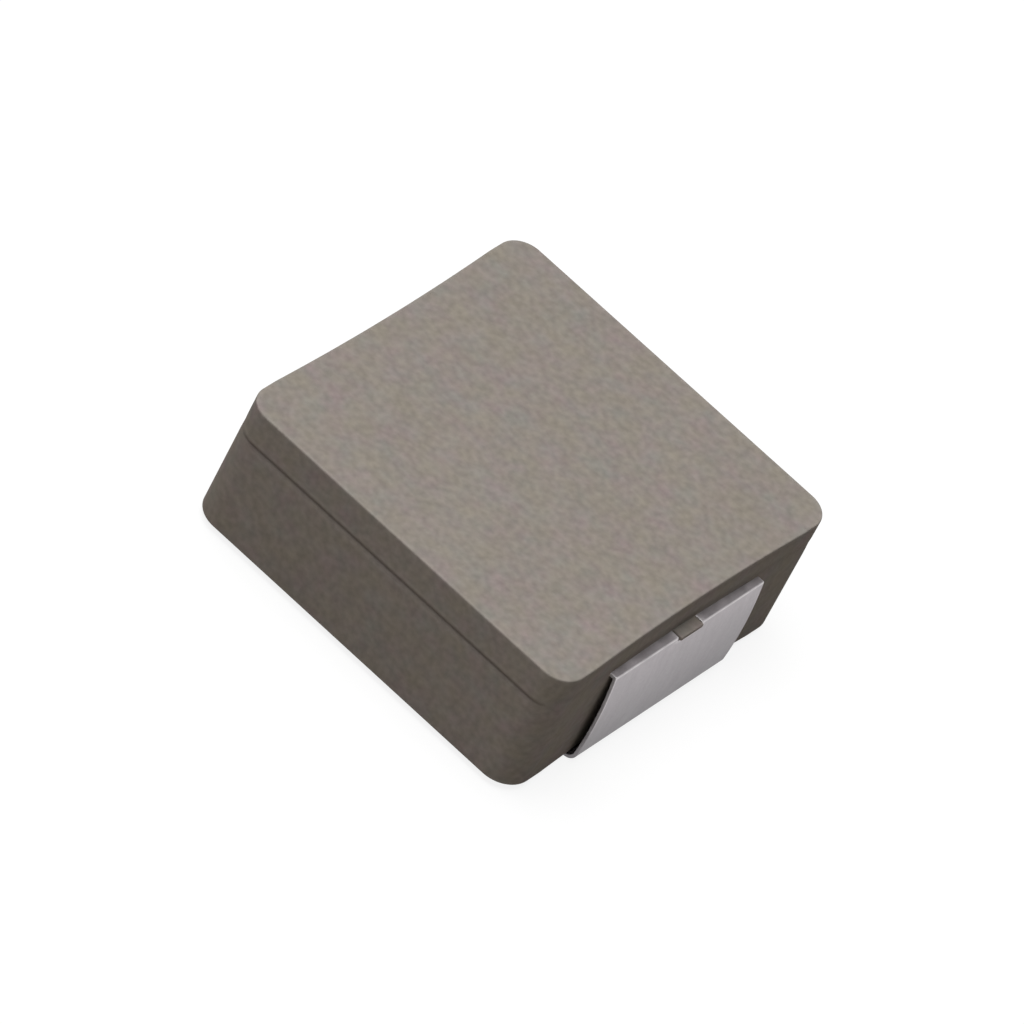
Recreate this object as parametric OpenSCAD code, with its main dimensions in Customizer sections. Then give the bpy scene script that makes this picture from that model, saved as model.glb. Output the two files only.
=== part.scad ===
// Moulded shielded power inductor for surface mounting.
// A block of pressed iron powder and resin encloses a two-layer coil of flat enamelled wire. Two
// tinned copper strips leave the block at its parting seam, fold down its ends and under its base.
// Millimetres. +Z is up, X runs from one terminal to the other, and the origin lies on the board
// under the centre of the block.

/* [Block] */
// Length of the block at the corners of its top
body_l = 12.6; // [12.4:0.05:16]
// Width of the block at its top
body_w = 12.9; // [12:0.05:16]
// Height of the block from its base to its top
body_h = 4.52; // [4.2:0.02:6.5]
// How far each end of the base stands beyond the top, as mould draft
end_draft = 0.01; // [0:0.01:0.12]
// How far each side of the base stands beyond the top, as mould draft
side_draft = 0.09; // [0:0.01:0.3]
// Corner radius of the top's outline
top_corner_r = 0.83; // [0.3:0.01:1.2]
// Corner radius of the base's outline
base_corner_r = 0.95; // [0.3:0.01:1.4]
// Size of the broken edge round the top
top_edge = 0.04; // [0.02:0.01:0.2]
// Size of the bevel round the base
base_edge = 0.05; // [0.02:0.01:0.25]
// How far the middle of each end face is drawn in
waist_depth = 0.11; // [0.02:0.01:0.15]

/* [Parting seam] */
// Distance of the seam's centre line below the top
seam_drop = 1.15; // [1.05:0.01:1.4]
// Width of the seam groove
seam_w = 0.1; // [0.03:0.01:0.15]
// Depth of the seam groove along the sides
seam_depth = 0.04; // [0.02:0.01:0.15]
// Angle in degrees round each corner at which the groove runs out
seam_fade = 55; // [20:5:80]

/* [Terminals] */
// Width of each terminal strip
term_w = 7.1; // [5:0.1:8]
// Thickness of the terminal strip
term_t = 0.12; // [0.1:0.01:0.2]
// How far the side plates stand beyond the ends of the block
plate_out = 0.29; // [0.22:0.01:0.4]
// Inner radius of the bend at the seam
seam_bend_r = 0.02; // [0.01:0.01:0.1]
// Inner radius of the bend at the foot
foot_bend_r = 0.25; // [0.1:0.01:0.4]
// Angle in degrees at which the side plate leaves the bend at the seam, leaning out
lean_out = 7; // [1:0.5:8]
// Angle in degrees at which the side plate meets the bend at the foot, leaning in
lean_in = 4.5; // [1:0.5:6]
// Length of each solder foot, from the side plate's outer face to the tip
foot_l = 2.3; // [1.5:0.1:3.5]
// Clearance between the feet and the base of the block
foot_gap = 0.08; // [0:0.01:0.15]
// Length of the tongue that the block holds
tongue_l = 1.2; // [1:0.05:1.3]

/* [Locking lugs] */
// Width of the lug that fills the notch in each terminal
lug_w = 1.05; // [0.6:0.05:2.5]
// How far the lug stands out from the end of the block
lug_out = 0.24; // [0.1:0.01:0.28]
// How far the lug stands above the terminal strip
lug_rise = 0.02; // [0:0.01:0.1]
// How far the lug reaches below the terminal strip
lug_drop = 0; // [0:0.01:0.3]
// Clearance between the lug and the notch
lug_gap = 0.04; // [0.01:0.01:0.1]

/* [Coil] */
// Radius of the bore inside the coil
bore_r = 2.1; // [1.8:0.05:2.3]
// Whole turns in each of the two layers
turns = 4; // [2:1:4]
// Width of the flat wire, across the turns
wire_w = 0.5; // [0.3:0.01:0.55]
// Height of the flat wire, along the coil's axis
wire_h = 1.05; // [0.8:0.01:1.2]
// Film of enamel and bond between turns and between layers
turn_gap = 0.06; // [0.05:0.01:0.08]
// Length of the ramp from the lower layer to the upper layer, at the bore
cross_l = 1.8; // [1.2:0.1:2]
// Length of the ramp that lifts the lower layer's lead to its terminal
rise_l = 1.5; // [1:0.1:1.6]
// Angle in degrees from the long axis at which the leads run to the terminals
lead_angle = 25; // [20:1:30]
// Distance from the end of the block to the tip of each lead
lead_inset = 0.5; // [0.4:0.05:0.6]

/* [Hidden] */
$fn = 96;
hull_fn = 64;
bow_fn = 720;
cut = 1; // overshoot of every cutting shape

body_z = term_t + foot_gap; // base of the block above the board
top_z = body_z + body_h;
seam_z = top_z - seam_drop;

// The strip is centred on the seam, and the coil's leads are welded to its underside
strip_top = seam_z + term_t / 2;
strip_bottom = seam_z - term_t / 2;
layer_rise = wire_h + turn_gap;
upper_z = strip_bottom - wire_h;
lower_z = upper_z - layer_rise;

// The side plate bows as one large arc between the two bends, so that the foot lands on the board
seam_outer_r = seam_bend_r + term_t;
foot_outer_r = foot_bend_r + term_t;
seam_bend_drop = seam_outer_r * (1 - sin(lean_out));
foot_bend_drop = foot_outer_r * (1 - sin(lean_in));
bow_r = (strip_top - seam_bend_drop - foot_bend_drop) / (sin(lean_out) + sin(lean_in));
bow_out = bow_r * (1 - cos(lean_out));
bow_in = bow_r * (1 - cos(lean_in)) + foot_outer_r * cos(lean_in);
plate_x = body_l / 2 + plate_out;
stub_x = plate_x - bow_out - seam_outer_r * cos(lean_out);
tongue_x = body_l / 2 - tongue_l;
STRIP = [
    [stub_x - tongue_x],
    [seam_outer_r, 90 - lean_out],
    [bow_r, lean_out + lean_in],
    [foot_outer_r, 90 - lean_in],
    [foot_l - bow_in],
];

// Each half turn is an arc, and the centres alternate so that the turns run on without a step
pitch = wire_w + turn_gap;
function turn_r(k) = bore_r + k * pitch / 2;
function turn_y(k) = (k % 2 == 0 ? 1 : -1) * pitch / 4;
last = 2 * turns;

// Leads: the last arc turns the wire until it runs straight to the terminal
lead_r = turn_r(last);
lead_tip_x = body_l / 2 - lead_inset;
lead_l = (lead_tip_x - (lead_r + wire_w / 2) * sin(lead_angle)) / cos(lead_angle);
// The rising lead stays low until it is clear of the outermost turn of the upper layer
over_r = turn_r(last - 1) + wire_w + turn_gap;
rise_start = sqrt(pow(over_r, 2) - pow(lead_r - pitch / 2 * cos(lead_angle), 2))
    - pitch / 2 * sin(lead_angle);

// Arc of the waist in each end face, and the place of the lug at its middle
waist_half = body_w / 2 - 1.5 * base_corner_r;
waist_r = (pow(waist_half, 2) + pow(waist_depth, 2)) / (2 * waist_depth);
lug_root_x = body_l / 2 - waist_depth - term_t;
lug_z = strip_bottom - lug_drop;
lug_h = lug_drop + term_t + lug_rise;

// ---- Block ----

// One rounded corner of the block, with the broken edge on top and the bevel at the base
module block_corner(x, y) {
    translate([x * (body_l / 2 - top_corner_r), y * (body_w / 2 - top_corner_r), top_z - top_edge])
        cylinder(h = top_edge, r1 = top_corner_r, r2 = top_corner_r - top_edge, $fn = hull_fn);
    translate([
        x * (body_l / 2 + end_draft - base_corner_r),
        y * (body_w / 2 + side_draft - base_corner_r),
        body_z,
    ])
        cylinder(h = base_edge, r1 = base_corner_r - base_edge, r2 = base_corner_r, $fn = hull_fn);
}

module drafted_block() {
    hull() {
        for (x = [-1, 1], y = [-1, 1]) {
            block_corner(x, y);
        }
    }
}

// Shallow hollow across an end face, leaning with the draft
module waist_cut() {
    translate([body_l / 2, 0, top_z])
        rotate([0, -atan(end_draft / body_h), 0])
            translate([waist_r - waist_depth, 0, -body_h - cut])
                cylinder(h = body_h + 2 * cut, r = waist_r, $fn = bow_fn);
}

// Outline of the groove's floor. It lies inside the sides and just outside the ends, so that the
// groove is deepest along the sides and runs out round the corners.
module seam_floor() {
    part = seam_drop / body_h;
    r = top_corner_r + part * (base_corner_r - top_corner_r) - seam_depth;
    l = body_l + 2 * (part * end_draft + seam_depth / sin(seam_fade) - seam_depth);
    w = body_w + 2 * (part * side_draft - seam_depth);
    square([l - 2 * r, w], center = true);
    square([l, w - 2 * r], center = true);
    for (x = [-1, 1], y = [-1, 1]) {
        translate([x * (l / 2 - r), y * (w / 2 - r)])
            circle(r);
    }
}

// Groove that the two halves of the mould leave along the sides
module seam_groove() {
    translate([0, 0, seam_z - seam_w / 2])
        linear_extrude(seam_w)
            difference() {
                square([body_l + 2 * cut, body_w + 2 * cut], center = true);
                seam_floor();
            }
}

// Lug of pressed powder in the notch of a terminal, grown by a clearance for the notch itself
module lug(gap) {
    translate([lug_root_x, -lug_w / 2 - gap, lug_z - gap])
        cube([body_l / 2 + lug_out - lug_root_x + (gap > 0 ? cut : 0), lug_w + 2 * gap,
            lug_h + gap + (gap > 0 ? cut : 0)]);
}

// Slot that holds the tongue of a terminal
module tongue_slot() {
    difference() {
        translate([tongue_x, -term_w / 2, strip_bottom])
            cube([tongue_l + cut, term_w, term_t]);
        lug(0);
    }
}

module molded_body() {
    color([0.5, 0.47, 0.44])
        difference() {
            union() {
                difference() {
                    drafted_block();
                    for (turn = [0, 180]) {
                        rotate(turn)
                            waist_cut();
                    }
                    seam_groove();
                }
                for (turn = [0, 180]) {
                    rotate(turn)
                        lug(0);
                }
            }
            for (turn = [0, 180]) {
                rotate(turn)
                    tongue_slot();
            }
            coil_winding(true);
        }
}

// ---- Coil ----

// Half a turn of one layer: even ones on the right of the bore, odd ones on the left
module half_turn(k, width, bottom, height) {
    translate([0, turn_y(k), bottom])
        rotate(k % 2 == 0 ? -90 : 90)
            rotate_extrude(angle = 180)
                translate([turn_r(k), 0])
                    square([width, height]);
}

// The last part of a turn, up to the point where the lead leaves it
module last_arc(inner_r, width, bottom, height) {
    translate([0, turn_y(last), bottom])
        rotate(-90)
            rotate_extrude(angle = lead_angle)
                translate([inner_r, 0])
                    square([width, height]);
}

// Straight lead from the last arc to the terminal, stepped down by a drop on the way
module lead(drop) {
    top = turn_gap / 2 + wire_h;
    bottom = turn_gap / 2;
    low_x = rise_start + rise_l;
    translate([0, turn_y(last), 0])
        rotate(lead_angle)
            translate([0, -lead_r, 0])
                rotate([90, 0, 0])
                    linear_extrude(wire_w)
                        polygon([
                            [0, bottom], [rise_start, bottom], [low_x, bottom - drop],
                            [lead_l, bottom - drop], [lead_l, top - drop], [low_x, top - drop],
                            [rise_start, top], [0, top],
                        ]);
}

// One layer above the coil's middle plane. As a space in the block it also takes in the film
// between the turns, so that its walls are the outer faces of the wire.
module layer(is_space) {
    bottom = is_space ? 0 : turn_gap / 2;
    height = turn_gap / 2 + wire_h - bottom;
    film = is_space ? turn_gap : 0;
    difference() {
        half_turn(0, wire_w + film, bottom, height);
        translate([-cut, -2 * bore_r, -cut])
            cube([cut + cross_l / 2, 2 * bore_r, wire_h + 2 * cut]);
    }
    for (k = [1 : last - 1]) {
        half_turn(k, wire_w + (k < last - 2 ? film : 0), bottom, height);
    }
    last_arc(lead_r - film, wire_w + film, bottom, height);
}

// Ramp along the bore that joins the two layers at their innermost turns
module crossover(is_space) {
    half_rise = turn_gap / 2;
    intersection() {
        translate([0, turn_y(0), -layer_rise])
            difference() {
                cylinder(h = 2 * layer_rise, r = bore_r + (is_space ? pitch : wire_w));
                translate([0, 0, -cut])
                    cylinder(h = 2 * layer_rise + 2 * cut, r = bore_r);
            }
        rotate([90, 0, 0])
            linear_extrude(2 * bore_r)
                polygon([
                    [-cross_l / 2, -half_rise - wire_h], [cross_l / 2, half_rise],
                    [cross_l / 2, half_rise + wire_h], [-cross_l / 2, -half_rise],
                ]);
    }
}

module coil_winding(is_space) {
    translate([0, 0, lower_z + wire_h + turn_gap / 2]) {
        layer(is_space);
        lead(0);
        crossover(is_space);
        rotate([0, 180, 0]) {
            layer(is_space);
            lead(layer_rise);
        }
    }
}

module coil() {
    color([0.72, 0.42, 0.25])
        coil_winding(false);
}

// ---- Terminals ----

// Folded strip drawn from its outer face: [length] runs straight, [outer radius, angle] bends down
module folded(path, i = 0) {
    if (i < len(path)) {
        size = path[i][0];
        if (len(path[i]) == 1) {
            translate([0, -term_t])
                square([size, term_t]);
            translate([size, 0])
                folded(path, i + 1);
        } else {
            translate([0, -size]) {
                bend(size, path[i][1]);
                rotate(-path[i][1])
                    translate([0, size])
                        folded(path, i + 1);
            }
        }
    }
}

// Ring sector from the top of the ring, clockwise through an angle
module bend(r, angle) {
    reach = 2 * r;
    smooth = r > body_h ? bow_fn : $fn;
    intersection() {
        difference() {
            circle(r, $fn = smooth);
            circle(r - term_t, $fn = smooth);
        }
        polygon([[0, 0], for (step = [0 : 4]) reach * [sin(angle * step / 4), cos(angle * step / 4)]]);
    }
}

module terminal() {
    color([0.74, 0.73, 0.73])
        difference() {
            translate([tongue_x, 0, strip_top])
                rotate([90, 0, 0])
                    linear_extrude(term_w, center = true)
                        folded(STRIP);
            lug(lug_gap);
        }
}

module terminal_right() {
    terminal();
}

module terminal_left() {
    rotate(180)
        terminal();
}

molded_body();
coil();
terminal_left();
terminal_right();
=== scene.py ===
"""Looks of the moulded power inductor: its pieces and materials, and the floor, light and camera."""

from math import acos, cos, exp, pi, radians, sin, sqrt, tan

import bpy
from mathutils import Euler, Matrix, Vector


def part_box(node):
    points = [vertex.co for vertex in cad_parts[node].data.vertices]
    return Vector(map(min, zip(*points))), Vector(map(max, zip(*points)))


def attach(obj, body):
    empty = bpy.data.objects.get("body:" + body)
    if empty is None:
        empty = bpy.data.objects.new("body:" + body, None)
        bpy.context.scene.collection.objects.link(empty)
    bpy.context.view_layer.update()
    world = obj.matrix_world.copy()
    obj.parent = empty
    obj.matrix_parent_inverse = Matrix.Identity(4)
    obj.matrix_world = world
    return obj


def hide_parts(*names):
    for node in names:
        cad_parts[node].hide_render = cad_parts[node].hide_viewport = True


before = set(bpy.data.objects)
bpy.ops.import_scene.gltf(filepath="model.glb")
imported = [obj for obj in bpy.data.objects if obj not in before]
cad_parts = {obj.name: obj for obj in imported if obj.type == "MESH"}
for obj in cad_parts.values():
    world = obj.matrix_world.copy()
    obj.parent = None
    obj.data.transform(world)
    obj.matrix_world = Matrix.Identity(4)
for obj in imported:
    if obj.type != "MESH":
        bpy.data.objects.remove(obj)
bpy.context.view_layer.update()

# ---- Sizes, in millimetres until a mesh is made ----

MM = 0.001
block_low, block_high = (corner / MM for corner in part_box("molded_body"))
strip_low, strip_high = (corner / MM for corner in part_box("terminal_right"))

# Steps that round curves are drawn with
CORNER_STEPS = 20                         # round each corner of the block
END_STEPS = 72                            # across each end of the block
SIDE_STEPS = 40                           # along each side of the block
EDGE_STEPS = 5                            # round the block's rim and the edge of its base
WALL_STEPS = 12                           # up the plain part of the block's wall
SEAM_BEND_STEPS = 6
BOW_STEPS = 24                            # down a terminal's side plate
FOOT_BEND_STEPS = 16
FOOT_STEPS = 8
PLATE_STEPS = 16                          # from a terminal's notch to its edge

# Block
lug_out = 0.24                            # how far the lugs stand out from the block's ends
side_draft = 0.09                         # how far each side of the base stands beyond the top
end_draft = 0.01                          # how far each end of the base stands beyond the top
half_length = block_high.x - lug_out      # at the top
half_width = block_high.y - side_draft    # at the top
base_z = block_low.z
top_z = block_high.z
height = top_z - base_z
top_corner_r = 0.83
base_corner_r = 0.95
top_edge_r = 0.05                         # rounding of the rim
base_edge_r = 0.07                        # rounding of the base's edge
waist_depth = 0.11                        # how far the middle of each end is drawn in
waist_half = half_width - 1.5 * base_corner_r    # half the width of the part that is drawn in
waist_r = (waist_half ** 2 + waist_depth ** 2) / (2 * waist_depth)

# Parting seam
seam_z = top_z - 1.165
seam_half = 0.06                          # half the groove's width
seam_depth = 0.035
seam_shade_half = 1.5 * seam_half         # half the width of the dark line along the groove: painted shade that deepens the groove's own, and a darker line of resin
lip_offset = 0.15                         # from the middle of the groove to its lips, which get a painted highlight
lip_half = 0.05
seam_fade = radians(50)                   # how far round the corners the groove runs
dip_z = seam_z + 0.14                     # shallow dip across the ends, where the moulds meet
dip_half = 0.2
dip_depth = 0.03
dip_fade = radians(35)                    # how far round the corners the dip runs
dip_shade_z = dip_z + 0.15                # faint painted shade over the dip, where its upper flank would face down
dip_shade_half = 0.15
rim_band_z = top_z - 0.25                # faint dark band under the rim of the ends
rim_band_half = 0.12

# Terminals
strip_w = strip_high.y - strip_low.y
strip_t = 0.12
strip_top = strip_high.z
plate_x = strip_high.x
tongue_x = half_length - 1.2              # where the strip ends inside the block
foot_tip_x = strip_low.x
lean_out = radians(7)                     # of the side plate where it leaves the bend at the seam
lean_in = radians(4.5)                    # of the side plate where it meets the bend at the foot
seam_bend_r = 0.04                        # outer radius of the pressed bend at the seam
seam_bend_inner_r = 0.02
foot_bend_r = 0.25 + strip_t              # outer radius
strip_edge_r = 0.018                      # rounding of the sheared edges
edge_light_band = 0.06                          # width of the lighter band along the plate's edges, from wear and a painted highlight
bend_band = 0.05                          # width of the band of painted highlight under the bend at the seam

# Lugs
lug_half = 0.525                          # half the lug's width
lug_gap = 0.04                            # between the lug and the notch's edges
lug_root_x = half_length - waist_depth - strip_t
lug_bottom = strip_top - strip_t
lug_top = strip_top + 0.02
lug_edge_r = 0.03

# Mesh attributes that the materials read
EDGE_WEAR_AND_HIGHLIGHT = "edge"                             # 1 on an edge that is lighter, from wear and from a painted highlight, 0 away from it
DARK = "dark"                             # 1 where a surface is darkest, 0 where it is plain: painted shade in the seam, over the dip and on the terminals, and a faint band under the rim of the ends


# ---- Meshes ----

def new_object(name, points, faces, **attributes):
    """A mesh object in metres from points in millimetres, smooth apart from its sharp edges."""
    mesh = bpy.data.meshes.new(name)
    mesh.from_pydata([Vector(point) * MM for point in points], [], faces)
    mesh.validate()
    mesh.polygons.foreach_set("use_smooth", [True] * len(mesh.polygons))
    mesh.set_sharp_from_angle(angle=radians(40))
    for attribute, values in attributes.items():
        layer = mesh.attributes.new(attribute, "FLOAT", "POINT")
        layer.data.foreach_set("value", values)
    piece = bpy.data.objects.new(name, mesh)
    bpy.context.scene.collection.objects.link(piece)
    return piece


def apply_modifiers(piece):
    """Replaces the piece's mesh by what its modifiers make of it."""
    graph = bpy.context.evaluated_depsgraph_get()
    made = bpy.data.meshes.new_from_object(piece.evaluated_get(graph))
    piece.modifiers.clear()
    piece.data = made


def shares(total, steps):
    """The total divided into equal steps: their ends, without the start."""
    return [total * step / steps for step in range(1, steps + 1)]


def bell(distance, half):
    """1 at no distance, falling softly to nearly 0 at twice the half width."""
    return exp(-(distance / half) ** 2)


def fading(angle, reach):
    """1 at no angle, falling softly to 0 at the reach."""
    return max(0, 1 - (angle / reach) ** 2) ** 2


def wall_points(z):
    """Points round the block at one height: (x, y, direction the wall faces), anticlockwise."""
    part = (top_z - z) / height
    radius = top_corner_r + part * (base_corner_r - top_corner_r)
    reach_x = half_length + part * end_draft - radius
    reach_y = half_width + part * side_draft - radius
    corners = [(reach_x, reach_y), (-reach_x, reach_y), (-reach_x, -reach_y), (reach_x, -reach_y)]
    points = []
    for quarter, (corner_x, corner_y) in enumerate(corners):
        start = quarter * pi / 2
        for step in range(CORNER_STEPS + 1):
            facing = start + pi / 2 * step / CORNER_STEPS
            points.append((corner_x + radius * cos(facing), corner_y + radius * sin(facing), facing))
        # the straight wall that runs on to the next corner
        is_side = quarter % 2 == 0
        steps = SIDE_STEPS if is_side else END_STEPS
        facing = start + pi / 2
        next_x, next_y = corners[(quarter + 1) % 4]
        from_x, from_y = corner_x + radius * cos(facing), corner_y + radius * sin(facing)
        to_x, to_y = next_x + radius * cos(facing), next_y + radius * sin(facing)
        for step in range(1, steps):
            share = step / steps
            x = from_x + share * (to_x - from_x)
            y = from_y + share * (to_y - from_y)
            points.append((x, y, facing))
    return points


def waist(x, y, z):
    """How far the end wall is drawn in at a point of it."""
    if abs(y) >= waist_half or abs(x) < half_length - top_corner_r:
        return 0
    return waist_depth - (waist_r - sqrt(waist_r ** 2 - y ** 2))


def seam_share(facing):
    """1 on the long sides, where the seam is a groove, falling to 0 round the corners."""
    return fading(abs(facing % pi - pi / 2), seam_fade)


def dip_share(facing):
    """1 on the ends, where the moulds meet in a shallow dip, falling to 0 round the corners."""
    return fading(pi / 2 - abs(facing % pi - pi / 2), dip_fade)


def drawn_in(z, facing):
    """How far the mould's seam draws the wall in at a height."""
    groove = seam_share(facing) * seam_depth * bell(z - seam_z, seam_half)
    return groove + dip_share(facing) * dip_depth * bell(z - dip_z, dip_half)


def darkness(z, facing):
    """How dark the wall is at a height: painted shade in the seam's groove, which also stands for a
    darker resin line, painted shade on the ends over the dip, and a faint band under the rim.
    """
    seam = seam_share(facing) * bell(z - seam_z, seam_shade_half)
    over_dip = 0.4 * bell(z - dip_shade_z, dip_shade_half)
    under_rim = 0.25 * bell(z - rim_band_z, rim_band_half)
    return min(1, seam + dip_share(facing) * (over_dip + under_rim))


def lip_highlight(z, facing):
    """How much painted highlight the lips of the seam get at a height, where they would catch the light
    from above.
    """
    return 0.8 * seam_share(facing) * bell(abs(z - seam_z) - lip_offset, lip_half)


def block_rings():
    """The block's rings from the middle of the base to the middle of the top: (height, inset, edge)."""
    quarter = [pi / 2 * step / EDGE_STEPS for step in range(EDGE_STEPS + 1)]

    # base and its edge
    rings = [(base_z, inset, 0) for inset in (0.6, 0.25)]
    for turn in quarter:
        z = base_z + base_edge_r * (1 - cos(turn))
        rings.append((z, base_edge_r * (1 - sin(turn)), 1))

    # wall up to the seam
    wall_low, wall_high = base_z + 0.4, seam_z - 0.32
    rings.append((base_z + 0.2, 0, 0))
    for step in range(WALL_STEPS):
        rings.append((wall_low + (wall_high - wall_low) * step / WALL_STEPS, 0, 0))

    # seam: close rings in the groove and on its lips, wider ones beyond
    flank = [0.02, 0.032, 0.04, 0.046, 0.052, 0.058, 0.067, 0.08, 0.092, 0.11, 0.14, 0.18, 0.23, 0.29]
    above = [0.37, 0.45, 0.54, 0.65, 0.78]
    for offset in [-away for away in reversed(flank)] + [0] + flank + above:
        rings.append((seam_z + offset, 0, 0))

    # rim and top; the rim's third value is a painted highlight, with some wear
    rings += [(top_z - 0.2, 0, 0), (top_z - 0.11, 0, 0.1)]
    for turn in quarter:
        z = top_z - top_edge_r * (1 - sin(turn))
        rings.append((z, top_edge_r * (1 - cos(turn)), 0.7))
    rings += [(top_z, 0.11, 0.2), (top_z, 0.2, 0), (top_z, 0.6, 0)]
    return rings


def make_block_shell():
    """The block without its lugs: rings of wall points, closed by a face at the base and one on top."""
    points, edge, dark = [], [], []
    rings = block_rings()
    for z, inset, worn_and_lit in rings:
        for x, y, facing in wall_points(z):
            depth = inset + drawn_in(z, facing)
            end_depth = waist(x, y, z) * (1 if x > 0 else -1)
            points.append((x - depth * cos(facing) - end_depth, y - depth * sin(facing), z))
            edge.append(max(worn_and_lit, lip_highlight(z, facing)))
            dark.append(darkness(z, facing))
    count = len(points) // len(rings)
    faces = [tuple(range(count - 1, -1, -1))]
    for ring in range(len(rings) - 1):
        for place in range(count):
            beside = (place + 1) % count
            low, high = ring * count, (ring + 1) * count
            faces.append((low + place, low + beside, high + beside, high + place))
    last = (len(rings) - 1) * count
    faces.append(tuple(range(last, last + count)))
    return new_object("pressed_block", points, faces, **{EDGE_WEAR_AND_HIGHLIGHT: edge, DARK: dark})


def make_lug(side):
    """The lug of pressed powder at the middle of one end: a rounded brick that starts in the block."""
    root, tip = lug_root_x, half_length + lug_out
    points = [
        (side * x, side * y, z)
        for x in (root, tip) for y in (-lug_half, lug_half) for z in (lug_bottom, lug_top)
    ]
    faces = [(0, 1, 3, 2), (4, 6, 7, 5), (0, 4, 5, 1), (2, 3, 7, 6), (0, 2, 6, 4), (1, 5, 7, 3)]
    lug = new_object("lug", points, faces, **{EDGE_WEAR_AND_HIGHLIGHT: [0, 0, 0, 0, 1, 1, 1, 1]})
    rounding = lug.modifiers.new("rounding", "BEVEL")
    rounding.width = lug_edge_r * MM
    rounding.segments = 3
    apply_modifiers(lug)
    return lug


def make_block():
    """The block and its two lugs as one closed mesh."""
    block = make_block_shell()
    for side in (1, -1):
        lug = make_lug(side)
        union = block.modifiers.new("lug", "BOOLEAN")
        union.operation = "UNION"
        union.object = lug
        union.solver = "EXACT"
        apply_modifiers(block)
        bpy.data.objects.remove(lug)
    return block


def strip_path():
    """Rows along the strip from its tongue to the tip of its foot.

    A row is (outer x, outer z, inner x, inner z, edge, dark), where edge is lightening from wear and
    painted highlight and dark is painted shade. The notch runs between two of the rows.
    """
    rows = []

    def add_row(x, z, heading, edge=0, dark=0, inner=None):
        """Without an inner point, the inner face is one thickness from the outer one."""
        inner_x, inner_z = inner or (x + strip_t * sin(heading), z - strip_t * cos(heading))
        rows.append((x, z, inner_x, inner_z, edge, dark))

    def arc(centre_x, centre_z, radius, heading):
        return centre_x - radius * sin(heading), centre_z + radius * cos(heading)

    seam_drop = seam_bend_r * (1 - sin(lean_out))
    foot_drop = foot_bend_r * (1 - sin(lean_in))
    bow_r = (strip_top - seam_drop - foot_drop) / (sin(lean_out) + sin(lean_in))
    bow_x = plate_x - bow_r
    bow_z = foot_drop + bow_r * sin(lean_in)
    seam_turn = pi / 2 - lean_out
    bend_x = bow_x + (bow_r - seam_bend_r) * cos(lean_out)

    # tongue in the block, and the stub that shows between the block and the bend, with painted shade
    # where the stub lies against the wall and mirrors it
    for x in (tongue_x, lug_root_x - 0.4, lug_root_x):
        add_row(x, strip_top, 0, dark=0.3)
    notch_first = len(rows) - 1
    add_row(bend_x - 0.12, strip_top, 0, dark=0.25)

    # bend at the seam: the press has sharpened its outside, so its inside is drawn on its own
    corner = (strip_t + seam_bend_inner_r - seam_bend_r) * tan(seam_turn / 2)
    inner_x = bend_x - corner
    inner_z = strip_top - strip_t - seam_bend_inner_r
    # painted shade where the bend starts, giving way to a painted highlight along its outside
    add_row(bend_x, strip_top, 0, dark=0.6, inner=(inner_x, strip_top - strip_t))
    for turn in shares(seam_turn, SEAM_BEND_STEPS):
        x, z = arc(bend_x, strip_top - seam_bend_r, seam_bend_r, -turn)
        inner = arc(inner_x, inner_z, seam_bend_inner_r, -turn)
        part = turn / seam_turn
        add_row(x, z, -turn, edge=0.7 * part, dark=0.6 * (1 - part), inner=inner)

    # bowed plate: a first row for the band of painted highlight under the bend, then one where the
    # notch ends
    band_turn = bend_band / bow_r
    corner_turn = 1.3 * corner / bow_r    # just clear of the bend's inside
    notch_turn = acos((lug_bottom - lug_gap - bow_z) / bow_r) - seam_turn
    bow_turns = [turn for turn in shares(lean_out + lean_in, BOW_STEPS) if turn > 1.3 * notch_turn]
    for turn in [band_turn, notch_turn] + bow_turns:
        heading = -(seam_turn + turn)
        x, z = arc(bow_x, bow_z, bow_r, heading)
        inner = arc(bow_x, bow_z, bow_r - strip_t, -(seam_turn + max(turn, corner_turn)))
        add_row(x, z, heading, inner=inner)
        if turn == notch_turn:
            notch_last = len(rows) - 1

    # bend at the foot and the foot, with painted shade towards the floor
    foot_x = plate_x - bow_r * (1 - cos(lean_in)) - foot_bend_r * cos(lean_in)
    foot_turn = pi / 2 - lean_in
    for turn in shares(foot_turn, FOOT_BEND_STEPS):
        heading = -(pi / 2 + lean_in + turn)
        x, z = arc(foot_x, foot_bend_r, foot_bend_r, heading)
        add_row(x, z, heading, dark=0.5 * turn / foot_turn)
    foot_l = foot_x - foot_tip_x
    for along in shares(foot_l, FOOT_STEPS):
        add_row(foot_x - along, 0, -pi, edge=1 if along == foot_l else 0, dark=0.3)
    return rows, notch_first, notch_last


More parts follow.
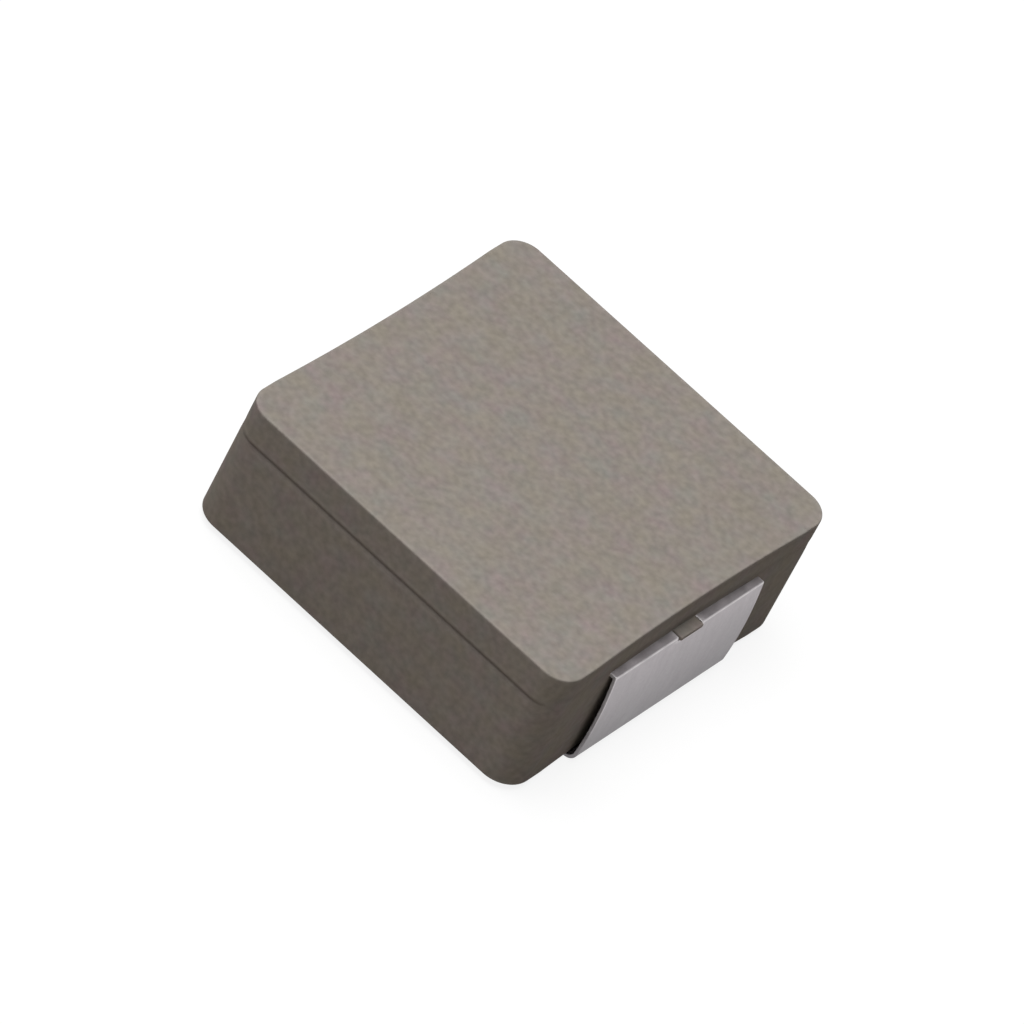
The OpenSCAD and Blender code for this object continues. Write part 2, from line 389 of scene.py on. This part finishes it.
def make_terminal(name, side):
    """One folded strip, on the right end for side 1 and on the left end for side -1."""
    path, notch_first, notch_last = strip_path()
    notch_half = lug_half + lug_gap
    half = strip_w / 2
    plate = half - edge_light_band - notch_half
    positive = [notch_half] + [notch_half + y for y in shares(plate, PLATE_STEPS)] + [half]
    across = [-y for y in reversed(positive)] + positive
    notch_column = len(positive) - 1      # the columns run from the strip's -Y edge to its +Y edge
    rows, columns = len(path), len(across)

    points, edge, dark = [], [], []
    for is_inner in (False, True):
        for row, (outer_x, outer_z, inner_x, inner_z, row_edge, row_dark) in enumerate(path):
            x, z = (inner_x, inner_z) if is_inner else (outer_x, outer_z)
            for column, y in enumerate(across):
                points.append((side * x, side * y, z))
                beside_notch = column in (notch_column, notch_column + 1)
                # lighter side and notch edges, from wear and a painted highlight; on the sides it fades
                # towards the foot
                worn_and_lit = 0
                if column in (0, columns - 1):
                    worn_and_lit = 0.6 * min(1, z / strip_top)
                elif beside_notch and notch_first <= row <= notch_last:
                    worn_and_lit = 0.4
                edge.append(max(row_edge, worn_and_lit))
                dark.append(row_dark)

    def is_kept(row, column):
        """Whether the strip has metal between this row and column and the next ones."""
        if not (0 <= row < rows - 1 and 0 <= column < columns - 1):
            return False
        return not (column == notch_column and notch_first <= row < notch_last)

    faces = []
    inside = rows * columns
    for row in range(rows - 1):
        for column in range(columns - 1):
            if not is_kept(row, column):
                continue
            a = row * columns + column
            b, c, d = a + 1, a + columns + 1, a + columns
            faces.append((a, d, c, b))
            faces.append((inside + a, inside + b, inside + c, inside + d))
            sides = {(-1, 0): (a, b), (0, 1): (b, c), (1, 0): (c, d), (0, -1): (d, a)}
            for (down, right), (start, end) in sides.items():
                if not is_kept(row + down, column + right):
                    faces.append((start, end, inside + end, inside + start))
    strip = new_object(name, points, faces, **{EDGE_WEAR_AND_HIGHLIGHT: edge, DARK: dark})
    rounding = strip.modifiers.new("rounding", "BEVEL")
    rounding.width = strip_edge_r * MM
    rounding.segments = 2
    rounding.limit_method = "ANGLE"
    rounding.angle_limit = radians(40)
    apply_modifiers(strip)
    return strip


# ---- Materials ----

def new_nodes(owner):
    """The empty node tree of a material or world."""
    owner.use_nodes = True
    tree = owner.node_tree
    tree.nodes.clear()
    return tree


def add(tree, kind, inputs=None, **settings):
    """A node with its settings. An input's value is a number, a colour or another node's output."""
    made = tree.nodes.new(kind)
    for name, value in settings.items():
        setattr(made, name, value)
    for name, value in (inputs or {}).items():
        if isinstance(value, bpy.types.NodeSocket):
            tree.links.new(value, made.inputs[name])
        else:
            made.inputs[name].default_value = value
    return made


def place_in_mm(tree):
    """The surface point in millimetres, so that texture scales are features a millimetre."""
    place = add(tree, "ShaderNodeTexCoord").outputs["Object"]
    return add(tree, "ShaderNodeMapping", {"Vector": place, "Scale": (1 / MM,) * 3}).outputs["Vector"]


def noise(tree, place, per_mm, detail=2, roughness=0.5):
    inputs = {"Vector": place, "Scale": per_mm, "Detail": detail, "Roughness": roughness}
    return add(tree, "ShaderNodeTexNoise", inputs).outputs["Fac"]


def spread(tree, value, to_low=0.0, to_high=1.0):
    """A noise's middle range spread between two values."""
    return remap(tree, value, 0.3, 0.7, to_low, to_high)


def remap(tree, value, low, high, to_low=0.0, to_high=1.0):
    inputs = {"Value": value, "From Min": low, "From Max": high, "To Min": to_low, "To Max": to_high}
    return add(tree, "ShaderNodeMapRange", inputs).outputs["Result"]


def maths(tree, operation, first, second):
    made = add(tree, "ShaderNodeMath", {0: first, 1: second}, operation=operation)
    return made.outputs["Value"]


def blend_colours(tree, share, first, second, blend_type="MIX"):
    """The first colour with a share of the second mixed in, or multiplied on."""
    made = add(tree, "ShaderNodeMix", data_type="RGBA", blend_type=blend_type)
    # a Mix node has sockets of the same name for each kind of data, so its colours go by number
    for number, value in ((0, share), (6, first), (7, second)):
        if isinstance(value, bpy.types.NodeSocket):
            tree.links.new(value, made.inputs[number])
        else:
            made.inputs[number].default_value = value
    return made.outputs[2]


def rgb(red, green, blue):
    return (red, green, blue, 1.0)


def grey(level):
    return rgb(level, level, level)


def painted(tree, attribute):
    """A mesh attribute's value at the surface point."""
    return add(tree, "ShaderNodeAttribute", attribute_name=attribute).outputs["Fac"]


def lighten_edges(tree, place, per_mm, least, most):
    """Share of lightening along the edges, from wear and a painted highlight, broken up by noise."""
    patches = remap(tree, noise(tree, place, per_mm), 0.35, 0.65, least, most)
    return maths(tree, "MULTIPLY", painted(tree, EDGE_WEAR_AND_HIGHLIGHT), patches)


def raised(tree, height, strength, most_mm):
    """The normal of a surface that a value raises by up to a height."""
    inputs = {"Strength": strength, "Distance": most_mm * MM, "Height": height}
    return add(tree, "ShaderNodeBump", inputs).outputs["Normal"]


def finish_surface(tree, shader):
    add(tree, "ShaderNodeOutputMaterial", {"Surface": shader.outputs[0]})


def powder_material():
    """Iron powder pressed with resin: matt, with a fine grain and a faint mottling of its colour."""
    material = bpy.data.materials.new("pressed_powder")
    tree = new_nodes(material)
    place = place_in_mm(tree)
    grain = noise(tree, place, 4.5, detail=2, roughness=0.38)
    mottle = noise(tree, place, 1.4, detail=2)
    cloud = noise(tree, place, 0.35, detail=2)
    tint = noise(tree, place, 1.1, detail=2)

    reddish, greenish = rgb(0.269, 0.220, 0.212), rgb(0.241, 0.230, 0.207)
    yellowish = rgb(0.258, 0.230, 0.192)
    colour = blend_colours(tree, spread(tree, mottle), reddish, greenish)
    colour = blend_colours(tree, spread(tree, tint), colour, yellowish)
    grain_level = remap(tree, grain, 0.25, 0.75, 0.87, 1.13)
    level = maths(tree, "MULTIPLY", grain_level, spread(tree, cloud, 0.985, 1.015))
    colour = blend_colours(tree, 1.0, colour, level, "MULTIPLY")

    # lighter along the edges: wear, and a painted highlight along the rim and the seam's lips
    edge_lightening = lighten_edges(tree, place, 5, 0.1, 0.35)
    colour = blend_colours(tree, edge_lightening, colour, rgb(0.36, 0.33, 0.30))
    # painted shade in the seam's groove, where it also stands for a darker resin line, and over the dip
    # of the ends, with a faint darker band under their rim
    shade_share = maths(tree, "MULTIPLY", painted(tree, DARK), 0.55)
    colour = blend_colours(tree, shade_share, colour, rgb(0.10, 0.085, 0.075))

    shader = add(tree, "ShaderNodeBsdfPrincipled", {
        "Base Color": colour,
        "Roughness": spread(tree, grain, 0.7, 0.9),
        "Specular IOR Level": 0.04,
        "Normal": raised(tree, grain, 0.5, 0.004),
    })
    finish_surface(tree, shader)
    return material


def tin_material():
    """Satin tin plating: slightly uneven, mottled, drawn in faint streaks, and painted darker low down
    as painted shade of the shaded floor it mirrors.
    """
    material = bpy.data.materials.new("tinned_copper")
    tree = new_nodes(material)
    place = place_in_mm(tree)
    mottle = noise(tree, place, 1.6, detail=3)
    fine = noise(tree, place, 9, detail=3, roughness=0.6)
    wave = noise(tree, place, 0.7, detail=1)
    drawn_out = add(tree, "ShaderNodeMapping", {"Vector": place, "Scale": (1, 1, 0.12)})
    streaks = noise(tree, drawn_out.outputs["Vector"], 5, detail=2)

    # painted shade: the plate darker towards the foot, where it mirrors the floor in the part's shadow
    up = add(tree, "ShaderNodeSeparateXYZ", {"Vector": place}).outputs["Z"]
    rise = remap(tree, up, 0.4, strip_top)
    colour = blend_colours(tree, rise, rgb(0.195, 0.182, 0.19), rgb(0.385, 0.357, 0.37))
    level = maths(tree, "MULTIPLY", spread(tree, mottle, 0.91, 1.09), spread(tree, fine, 0.95, 1.05))
    level = maths(tree, "MULTIPLY", level, spread(tree, streaks, 0.96, 1.04))
    colour = blend_colours(tree, 1.0, colour, level, "MULTIPLY")

    # painted shade on the stub, at the start of the bend at the seam and on the foot
    colour = blend_colours(tree, painted(tree, DARK), colour, rgb(0.15, 0.14, 0.145))
    # lighter edges: wear, and a painted highlight along the bend at the seam
    edge_lightening = lighten_edges(tree, place, 4, 0.3, 0.7)
    colour = blend_colours(tree, edge_lightening, colour, rgb(0.92, 0.9, 0.89))

    uneven = maths(tree, "ADD", maths(tree, "MULTIPLY", wave, 8.0), fine)
    shader = add(tree, "ShaderNodeBsdfPrincipled", {
        "Base Color": colour,
        "Metallic": 1.0,
        "Roughness": spread(tree, mottle, 0.4, 0.52),
        "Normal": raised(tree, uneven, 0.5, 0.003),
    })
    finish_surface(tree, shader)
    return material


def wire_material():
    """Copper wire under clear enamel."""
    material = bpy.data.materials.new("enamelled_copper")
    tree = new_nodes(material)
    place = place_in_mm(tree)
    streaks = noise(tree, place, 3, detail=3)
    colour = blend_colours(tree, streaks, rgb(0.62, 0.25, 0.10), rgb(0.75, 0.36, 0.18))
    shader = add(tree, "ShaderNodeBsdfPrincipled", {
        "Base Color": colour,
        "Metallic": 1.0,
        "Roughness": spread(tree, streaks, 0.2, 0.35),
        "Coat Weight": 0.6,
        "Coat Roughness": 0.08,
        "Normal": raised(tree, streaks, 0.3, 0.004),
    })
    finish_surface(tree, shader)
    return material


def dress(piece, material):
    piece.data.materials.clear()
    piece.data.materials.append(material)


# ---- Pieces ----

powder = powder_material()
tin = tin_material()
wire = wire_material()

block = make_block()
dress(block, powder)
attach(block, "root")
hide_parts("molded_body")

for name, side in (("terminal_right", 1), ("terminal_left", -1)):
    strip = make_terminal("tinned_" + name, side)
    dress(strip, tin)
    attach(strip, "root")
    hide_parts(name)

dress(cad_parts["coil"], wire)


# ---- Floor, backdrop and light ----

def seen_directly(tree):
    """1 for rays from the camera and for mirrored or refracted ones, 0 for the light on the object."""
    path = add(tree, "ShaderNodeLightPath").outputs
    mirrored = maths(tree, "MAXIMUM", path["Is Glossy Ray"], path["Is Transmission Ray"])
    return maths(tree, "MAXIMUM", path["Is Camera Ray"], mirrored)


def make_floor():
    """A plain floor that looks white, keeps the shadow, and throws a plain level of light back up."""
    reach = 3000
    gap = 0.01                            # keeps the floor clear of the feet's flat undersides
    points = [(x * reach, y * reach, -gap) for x, y in ((-1, -1), (1, -1), (1, 1), (-1, 1))]
    floor = new_object("floor", points, [(0, 1, 2, 3)])
    material = bpy.data.materials.new("white_floor")
    tree = new_nodes(material)
    bounce = add(tree, "ShaderNodeBsdfDiffuse", {"Color": rgb(0.40, 0.37, 0.345)})
    shown = add(tree, "ShaderNodeBsdfDiffuse", {"Color": grey(0.16)})
    glow = add(tree, "ShaderNodeEmission", {"Color": grey(1), "Strength": 0.86})
    white = add(tree, "ShaderNodeAddShader", {0: shown.outputs[0], 1: glow.outputs[0]})
    choice = {"Fac": seen_directly(tree), 1: bounce.outputs[0], 2: white.outputs[0]}
    finish_surface(tree, add(tree, "ShaderNodeMixShader", choice))
    dress(floor, material)


def make_backdrop():
    """A world that looks white and adds only a little light of its own."""
    world = bpy.data.worlds.new("backdrop")
    tree = new_nodes(world)
    level = remap(tree, seen_directly(tree), 0, 1, 0.08, 1)
    sky = add(tree, "ShaderNodeBackground", {"Color": grey(1), "Strength": level})
    add(tree, "ShaderNodeOutputWorld", {"Surface": sky.outputs[0]})
    bpy.context.scene.world = world


def make_softbox():
    """One large soft light overhead, a little to the left and front of the part."""
    light = bpy.data.lights.new("softbox", "AREA")
    light.shape = "DISK"
    light.size = 0.9
    light.energy = 9.0
    place = Vector((-0.16, -0.05, 0.8))
    softbox = bpy.data.objects.new("softbox", light)
    softbox.location = place
    softbox.rotation_euler = place.to_track_quat("Z", "Y").to_euler()
    softbox.visible_camera = False
    bpy.context.scene.collection.objects.link(softbox)


make_floor()
make_backdrop()
make_softbox()


# ---- Camera ----

def make_camera():
    """The photograph's view: from above, in front and to the right, with the camera rolled."""
    azimuth = radians(20.28)
    elevation = radians(41.50)
    roll = radians(28.45)
    distance = 356.03 * MM
    aim = Vector((0.018, -0.058, 2.391)) * MM
    view = bpy.data.cameras.new("camera")
    view.lens = 437.9
    view.sensor_width = 36
    view.clip_start = 0.01
    view.clip_end = 20
    camera = bpy.data.objects.new("camera", view)
    turn = Euler((pi / 2 - elevation, 0, azimuth)).to_matrix() @ Matrix.Rotation(roll, 3, "Z")
    camera.matrix_world = Matrix.Translation(aim + turn.col[2] * distance) @ turn.to_4x4()
    bpy.context.scene.collection.objects.link(camera)
    bpy.context.scene.camera = camera


make_camera()
bpy.context.scene.view_settings.view_transform = "Standard"
